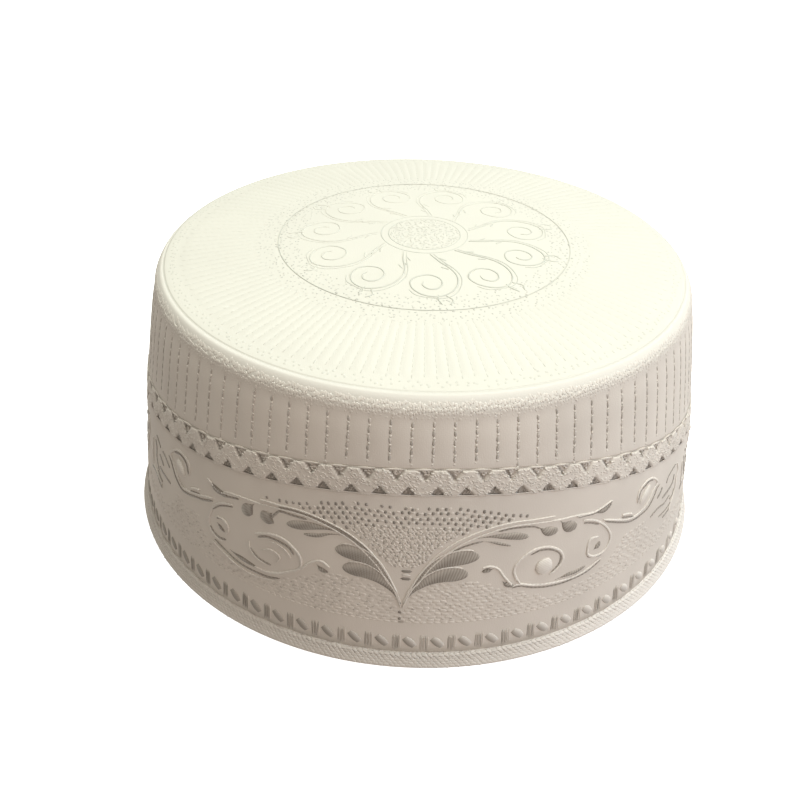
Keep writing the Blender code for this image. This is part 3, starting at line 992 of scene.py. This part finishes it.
def satin_shade(side, tone):
    """Shade of a leaf's satin threads: darker at its stalk, painted shade along its lower edge and
    between its threads, and patches at random.
    """
    def shade(share, across, wave):
        stalk = 0.25 * (1.0 - ramp(share, 0.0, 0.5))
        patches = 0.12 * np.sin(11.0 * share + 3.0 * across)
        low = 0.26 * side * across
        return np.clip(tone - 0.2 * wave + low + stalk + patches, 0.0, 1.0)
    return shade


def longer(spine, extra):
    """A leaf's spine with its tip moved out by some degrees."""
    spine = np.array(spine, float)
    spine[:, 0] += extra * np.linspace(0.0, 1.0, len(spine)) ** 3
    return spine


def make_scrolls():
    light = Batch()
    dark = Batch()
    satin = Batch()
    pads = Batch()
    for half in frieze_halves():
        side = half[2]
        # On each span's left half the lines, pads and leaves are coloured darker: painted shade, as
        # the cap's left lies away from the light
        if side > 0:
            lights, darks, leaves, ovals = RIGHT_LIGHT, RIGHT_DARK, RIGHT_LEAVES, RIGHT_PADS
            thinning, leaf_tone, shade = 0.85, 0.58, line_shade(0.1)
        else:
            lights, darks, leaves, ovals = LEFT_LIGHT, LEFT_DARK, LEFT_LEAVES, LEFT_PADS
            thinning, leaf_tone, shade = 1.0, 0.64, line_shade(0.26)
        for width, points in V_LIGHT + lights:
            sweep(light, on_wall, wall_path(to_wall(points, half), 0.4),
                  lambda t: width * cord_taper(t), 0.32, sides=7, ridge=(1.3, 0.05, 0.9 * side),
                  shade=shade)
        for width, points in darks:
            sweep(dark, on_wall, wall_path(to_wall(points, half), 0.4),
                  lambda t: thinning * width * cord_taper(t), 0.16, sides=6, lift=0.02,
                  ridge=(1.3, 0.03, 0.9 * side), shade=gap_shade)
        v_leaves = [(most, peak, leaf_tone, longer(spine, right if side > 0 else left))
                    for most, peak, right, left, spine in V_LEAVES]
        for number, (most, peak, tone, spine) in enumerate(v_leaves + leaves):
            path = wall_path(to_wall(spine, half), 0.24)
            profile = leaf_profile(peak)
            sweep(satin, on_wall, path, lambda t: most * profile(t),
                  lambda t: 0.12 + 0.2 * profile(t), sides=12, ridge=(0.8, 0.07, 0.35 * side),
                  shade=satin_shade(side, tone))
            # A light cord edges the V's own leaves
            if number < len(v_leaves):
                share = np.linspace(0.0, 1.0, len(path))
                edge = beside(path, side * (most * profile(share) + 0.2))
                sweep(light, on_wall, edge[:int(0.93 * len(edge))],
                      lambda t: 0.24 * cord_taper(t), 0.3, sides=7,
                      ridge=(1.3, 0.04, 0.9 * side), shade=shade)
        for width, tall, spine in ovals:
            sweep(pads, on_wall, wall_path(to_wall(spine, half), 0.16),
                  lambda t: width * np.sin(np.pi * np.clip(t, 0.02, 0.98)) ** 0.5,
                  lambda t: 0.1 + tall * np.sin(np.pi * t) ** 0.5, sides=14,
                  ridge=(0.6, 0.05, 0.4), shade=shade)
    light.make("scroll_cords", "light_thread")
    dark.make("scroll_shadows", "satin_thread")
    satin.make("satin_leaves", "satin_thread")
    pads.make("satin_ovals", "light_thread")


# Stippled grounds

STIPPLE_TOP = np.array([(0, 52), (9, 52), (12, 51), (15, 50), (18, 48.7), (21, 47.5),
                        (24, 46.8), (29, 45.9)])
STIPPLE_FOOT = np.array([(0, 33.6), (1.6, 33.4), (3.2, 35), (5, 38.2), (7, 41.1), (9.4, 43.5),
                         (12, 44.8), (15, 45.9), (19, 46.6), (23, 46.2), (27, 45.8)])
PEBBLE_TOP = np.array([(0, 46), (5, 46), (8.5, 45), (10, 44)])
GROUND_TOP = np.array([(0, 19), (1.6, 23), (3, 25.6), (4.5, 27.2), (6, 28.4), (12, 28.6),
                       (15, 27), (17, 25.3), (20, 23.5), (23, 21), (27, 18.5), (35, 19.5),
                       (40, 23), (43, 28), (50, 28), (55, 20), (66, 20)])
GROUND_FOOT = 15.4
STIPPLE_PITCH = 1.35
STIPPLE_ROW = 1.5
STIPPLE_ROWS = 15
GROUND_PITCH = 1.5
GROUND_ROW = 1.1

# Marks one under another that close the stippled ground at the V's foot: place aside, height,
# length, thickness and shade. The second is light.
LADDER = ((0.6, 32.3, 3.1, 1.0, 0.6), (0.5, 31.0, 2.6, 0.8, 0.0), (0.5, 29.8, 3.0, 1.0, 0.6),
          (-0.3, 18.4, 1.1, 1.0, 0.6), (-0.3, 16.2, 0.9, 1.0, 0.6))


def between(points, upper, lower):
    """The points under one edge and over another, which may be a height."""
    top = np.interp(points[:, 0], upper[:, 0], upper[:, 1])
    foot = lower if np.isscalar(lower) else np.interp(points[:, 0], lower[:, 0], lower[:, 1])
    return points[(points[:, 1] < top) & (points[:, 1] > foot)]


def staggered(across, foot, top, pitch, row, jitter, rng):
    """Points in staggered rows that fill (0, across) by (foot, top), each moved a little."""
    columns = int(across / pitch) + 1
    rows = int((top - foot) / row) + 1
    column, line = np.meshgrid(np.arange(columns), np.arange(rows))
    points = joined((column + 0.5 * (line % 2)) * pitch, top - line * row).reshape(-1, 2)
    return points + rng.normal(0.0, 1.0, points.shape) * jitter


def hanging_rows(across, rng):
    """Points in staggered rows that follow the stippled ground's upper edge."""
    made = []
    for row in range(STIPPLE_ROWS):
        degrees = np.arange(0.0, across, STIPPLE_PITCH) + 0.5 * STIPPLE_PITCH * (row % 2)
        height = np.interp(degrees, STIPPLE_TOP[:, 0], STIPPLE_TOP[:, 1]) - 0.1 - STIPPLE_ROW * row
        made.append(joined(degrees, height))
    points = np.concatenate(made)
    points += rng.normal(0.0, 1.0, points.shape) * (0.08, 0.12)
    return between(points, STIPPLE_TOP, STIPPLE_FOOT)


def make_stipple():
    rng = np.random.default_rng(14)
    dark = Batch()
    light = Batch()
    dull = Batch()
    for half in frieze_halves():
        side = half[2]
        dots = hanging_rows(27.0, rng)
        pebbled = np.interp(dots[:, 0], PEBBLE_TOP[:, 0], PEBBLE_TOP[:, 1], right=0.0)
        upper = to_wall(dots[dots[:, 1] > pebbled], half)
        lower = to_wall(dots[dots[:, 1] <= pebbled], half)
        stitches(dark, on_wall, upper, 90.0 - side * 12.0 + rng.normal(0.0, 8.0, len(upper)),
                 rng.uniform(1.0, 1.35, len(upper)), 0.9, 0.28,
                 shade=rng.uniform(0.0, 0.6, len(upper)))
        stitches(dull, on_wall, lower, rng.uniform(20.0, 120.0, len(lower)), 1.1, 0.7, 0.26,
                 shade=rng.uniform(0.3, 1.0, len(lower)))
        bumps = between(dots + (0.5 * STIPPLE_PITCH, 0.1), STIPPLE_TOP, STIPPLE_FOOT)
        stitches(light, on_wall, to_wall(bumps, half),
                 side * 30.0 + rng.normal(0.0, 16.0, len(bumps)), 1.3, 0.8, 0.34, -0.05,
                 grain=SOFT_GRAIN)
        pebbles = staggered(10.0, 29.0, 46.0, 0.8, 0.95, (0.14, 0.14), rng)
        pebbles = between(between(pebbles, PEBBLE_TOP, 29.0), PEBBLE_TOP, STIPPLE_FOOT)
        turned_up = rng.choice((-45.0, 40.0), len(pebbles)) + rng.normal(0.0, 12.0, len(pebbles))
        stitches(light, on_wall, to_wall(pebbles, half), turned_up, 1.35, 0.75, 0.28, -0.03,
                 grain=SOFT_GRAIN)
        # Dark marks in the hollows beside the pebbles: painted shade
        holes = to_wall(pebbles[::2] + (0.4, 0.45), half)
        stitches(dull, on_wall, holes, 60.0 + rng.normal(0.0, 25.0, len(holes)), 0.9, 0.6, 0.2,
                 shade=rng.uniform(0.3, 1.0, len(holes)))
    for half in frieze_halves()[::2]:
        for aside, height, length, width, shade in LADDER:
            stitches(dark if shade else light, on_wall, [(half[0] + aside, height)], 0.0, length,
                     width, 0.34, 0.02, shade)
    dark.make("stipple_holes", "dark_thread")
    dull.make("pebble_holes", "running_thread")
    light.make("stipple_seeds", "ground_thread")


def make_ground_stitches():
    rng = np.random.default_rng(15)
    light = Batch()
    flecks = Batch()
    for half in frieze_halves():
        side = half[2]
        seeds = staggered(CHART_HALF_WIDTH, GROUND_FOOT, 29.0, GROUND_PITCH, GROUND_ROW,
                          (0.2, 0.12), rng)
        seeds = between(seeds, GROUND_TOP, GROUND_FOOT)
        count = len(seeds)
        stitches(light, on_wall, to_wall(seeds, half), -side * 6.0 + rng.normal(0.0, 9.0, count),
                 rng.uniform(1.8, 2.8, count), 1.15, rng.uniform(0.16, 0.3, count), -0.04,
                 rng.uniform(0.0, 0.12 if side > 0 else 0.24, count), grain=SOFT_GRAIN)
        near = seeds[rng.uniform(0.0, 1.0, count) < (0.1 if side > 0 else 0.3)] + (0.5, -0.5)
        stitches(flecks, on_wall, to_wall(near, half), -side * 20.0, 1.1, 0.5, 0.16,
                 shade=rng.uniform(0.0, 0.7, len(near)))
        row = joined(np.arange(0.0, CHART_HALF_WIDTH, 1.25), GROUND_FOOT - 0.4)
        stitches(light, on_wall, to_wall(row, half), 0.0, 2.1, 0.8, 0.26, -0.04,
                 grain=SOFT_GRAIN)
    light.make("ground_stitch", "ground_thread")
    flecks.make("ground_flecks", "running_thread")


# Embroidery of the top panel

STEMS = 11
STEM_TURN = 9.5
SPIRAL = [(1.2, 14), (4, 18.5), (7, 22.5), (8.7, 26.5), (8.7, 31), (7, 35), (4, 37.5), (1, 37.8),
          (-2, 36.5), (-4.3, 33.5), (-4.7, 30), (-3, 27.5), (0.5, 26.3), (3.5, 28), (4.3, 31),
          (3, 33.5), (0.5, 34), (-1.3, 32), (-1, 30)]
TICKS = [(17.5, 2.4), (20.3, 2.4), (22.8, 2.2)]
DISC_RINGS = (13.3, 11.0)


def turned(points, degrees):
    """Motif points (sideways, outward) turned to a stem's direction, as (x, y)."""
    points = np.asarray(points, float)
    angle = math.radians(degrees)
    out = np.array([math.cos(angle), math.sin(angle)])
    left = np.array([-out[1], out[0]])
    return points[:, :1] * left + points[:, 1:] * out


def circle(radius, pitch, start=0.0):
    """(x, y) points round a circle, about a pitch apart; start is a share of one step."""
    count = int(math.tau * radius / pitch)
    angle = math.tau * (np.arange(count) + start) / count
    return radius * joined(np.cos(angle), np.sin(angle))


def polar_rows(radii, pitch):
    """(x, y) points in rings, evenly spaced, each ring set off from the last."""
    return np.concatenate([circle(radius, pitch, 0.5 * (row % 2))
                           for row, radius in enumerate(radii)])


def make_medallion():
    """Spiral stems round a ringed disc; the thread stands out most at the front."""
    batch = Batch()
    for radius in DISC_RINGS + (GROUND_RING,):
        sweep(batch, on_top, circle(radius, 0.8), 0.16, 0.1, sides=6, closed=True,
              shade=lambda share, across, wave: 0.35 + 0.4 * np.sin(math.tau * (share + 0.1)))
    # The stem's second thread lies a little outside the first part of its spiral
    second = [(s + 1.1 if s > 0 else s - 1.0, r + 0.9 * (r > 33)) for s, r in SPIRAL[:10]]
    for stem in range(STEMS):
        degrees = STEM_TURN + stem * 360.0 / STEMS
        faint = 0.5 + 0.5 * math.sin(math.radians(degrees - 20.0))

        def thread(points, half_width, height, turn=0.0):
            sweep(batch, on_top, smooth_path(turned(points, degrees + turn), 0.5),
                  lambda t: (1.0 - 0.3 * faint) * half_width * cord_taper(t),
                  (1.0 - 0.4 * faint) * height, sides=6, shade=faint)

        thread(SPIRAL, 0.26, 0.2)
        thread(second, 0.16, 0.12)
        for out, sideways in TICKS:
            thread([(sideways - 1.0, out - 0.8), (sideways + 1.0, out + 0.8)], 0.22, 0.16, 8.0)
        for turn in (-1.0, 1.0):
            thread([(4.0 + turn, 37.0), (5.0 + 2.0 * turn, 39.5), (5.0 + turn, 41.8)], 0.24, 0.18)
    batch.make("medallion_scrolls", "panel_thread")


def make_panel_stitches():
    rng = np.random.default_rng(16)
    batch = Batch()

    def scattered(radii, pitch, spread):
        points = polar_rows(radii, pitch)
        points += rng.normal(0.0, spread, points.shape)
        return points, rng.uniform(0.0, 180.0, len(points))

    def sew(points, tilt, *sizes, **rest):
        stitches(batch, on_top, points, tilt, *sizes, scale=(1.0, 1.0), **rest)

    sew(*scattered(np.arange(0.9, 10.4, 1.15), 1.5, 0.3), 1.4, 0.34, 0.2, shade=0.25)
    for radii in (np.arange(38.6, 44.2, 1.3), np.arange(46.0, 51.5, 1.5)):
        ground, tilt = scattered(radii, 2.0, 0.45)
        sew(ground, tilt, 0.9, 0.6, 0.18, -0.04, rng.uniform(0.1, 0.8, len(ground)))
    for row in range(RADIAL_ROWS):
        degrees = -180.0 + row * 360.0 / RADIAL_ROWS
        radii = np.arange(RADIAL_ROW_START, RADIAL_ROW_END, 2.2) + 0.7 * (row % 2)
        sew(around(degrees, radii, 0.0)[:, :2], degrees - 90.0, 1.5, 0.34, 0.1)
    sew(*scattered((75.8, 77.0), 2.4, 0.35), 1.1, 0.9, 0.16, -0.02, 0.1, grain=SOFT_GRAIN)
    batch.make("panel_stitch", "panel_dots")


# Studio: camera at the photograph's angle, pale floor, soft light

CAMERA_ELEVATION = math.radians(33.60)
CAMERA_ROLL = math.radians(1.77)
CAMERA_TARGET = (-5.984, 0.0, 27.944)
CAMERA_DISTANCE = 360.0
CAMERA_SENSOR = 36.0
CAMERA_LENS = 47.82
FLOOR_REACH = 4.0


def make_camera():
    forward = Vector((0.0, math.cos(CAMERA_ELEVATION), -math.sin(CAMERA_ELEVATION)))
    above = Vector((0.0, math.sin(CAMERA_ELEVATION), math.cos(CAMERA_ELEVATION)))
    right = Vector((1.0, 0.0, 0.0))
    camera_x = math.cos(CAMERA_ROLL) * right + math.sin(CAMERA_ROLL) * above
    camera_y = -math.sin(CAMERA_ROLL) * right + math.cos(CAMERA_ROLL) * above
    place = (Vector(CAMERA_TARGET) - CAMERA_DISTANCE * forward) * MM
    data = bpy.data.cameras.new("camera")
    data.sensor_width = CAMERA_SENSOR
    data.lens = CAMERA_LENS
    data.clip_start = 0.01
    camera = bpy.data.objects.new("camera", data)
    turn = Matrix((camera_x, camera_y, -forward)).transposed().to_4x4()
    camera.matrix_world = Matrix.Translation(place) @ turn
    bpy.context.collection.objects.link(camera)
    bpy.context.scene.camera = camera


def area_light(name, place, size, power, colour):
    """A round light, in metres and watts, that points at the cap."""
    data = bpy.data.lights.new(name, "AREA")
    data.shape = "DISK"
    data.size = size
    data.energy = power
    data.color = colour
    light = bpy.data.objects.new(name, data)
    light.location = place
    aim = Vector((0.0, 0.0, 0.05)) - Vector(place)
    light.rotation_euler = aim.to_track_quat("-Z", "Y").to_euler()
    bpy.context.collection.objects.link(light)


def make_studio():
    mesh = bpy.data.meshes.new("floor")
    corners = [(-1, -1), (1, -1), (1, 1), (-1, 1)]
    mesh.from_pydata([(x * FLOOR_REACH, y * FLOOR_REACH, 0.0) for x, y in corners], [],
                     [(0, 1, 2, 3)])
    floor = bpy.data.objects.new("floor", mesh)
    floor.location.z = -0.0002
    floor.visible_diffuse = False
    paper = bpy.data.materials.new("white_paper")
    paper.use_nodes = True
    set_inputs(paper.node_tree.nodes["Principled BSDF"], Base_Color=(0.9, 0.9, 0.9, 1.0),
               Roughness=0.9, Emission_Color=(1.0, 1.0, 1.0, 1.0), Emission_Strength=0.9)
    floor.data.materials.append(paper)
    bpy.context.collection.objects.link(floor)

    world = bpy.data.worlds.new("studio")
    bpy.context.scene.world = world
    world.use_nodes = True
    set_inputs(world.node_tree.nodes["Background"], Color=(1.0, 0.9, 0.81, 1.0), Strength=0.378)
    area_light("top_light", (0.15, 0.1, 1.6), 0.7, 21.2, (0.937, 1.0, 0.944))
    area_light("right_light", (1.35, -0.35, 0.7), 0.9, 8.4, (0.68, 0.845, 1.0))
    area_light("corner_light", (1.0, -1.0, 0.7), 0.9, 6.4, (1.0, 0.81, 0.765))

    settings = bpy.context.scene.view_settings
    settings.view_transform = "Standard"
    settings.look = "None"
    settings.exposure = 0.0
    settings.gamma = 1.0


make_camera()
make_studio()
make_top_panel()
make_rim_piping()
make_crown_side()
make_wall_stitches()
make_shoulder_stitches()
make_belt()
make_belt_cord("upper_cord", "belt_cord_upper", BRAID_TOP + BRAID_MARGIN, 0.22, 0.14, 0.34)
make_belt_cord("lower_cord", "belt_cord_lower", -BRAID_FOOT - BRAID_MARGIN, 0.3, 0.2, 0.2)
make_band()
make_hem()
make_bars()
make_scrolls()
make_stipple()
make_ground_stitches()
make_medallion()
make_panel_stitches()
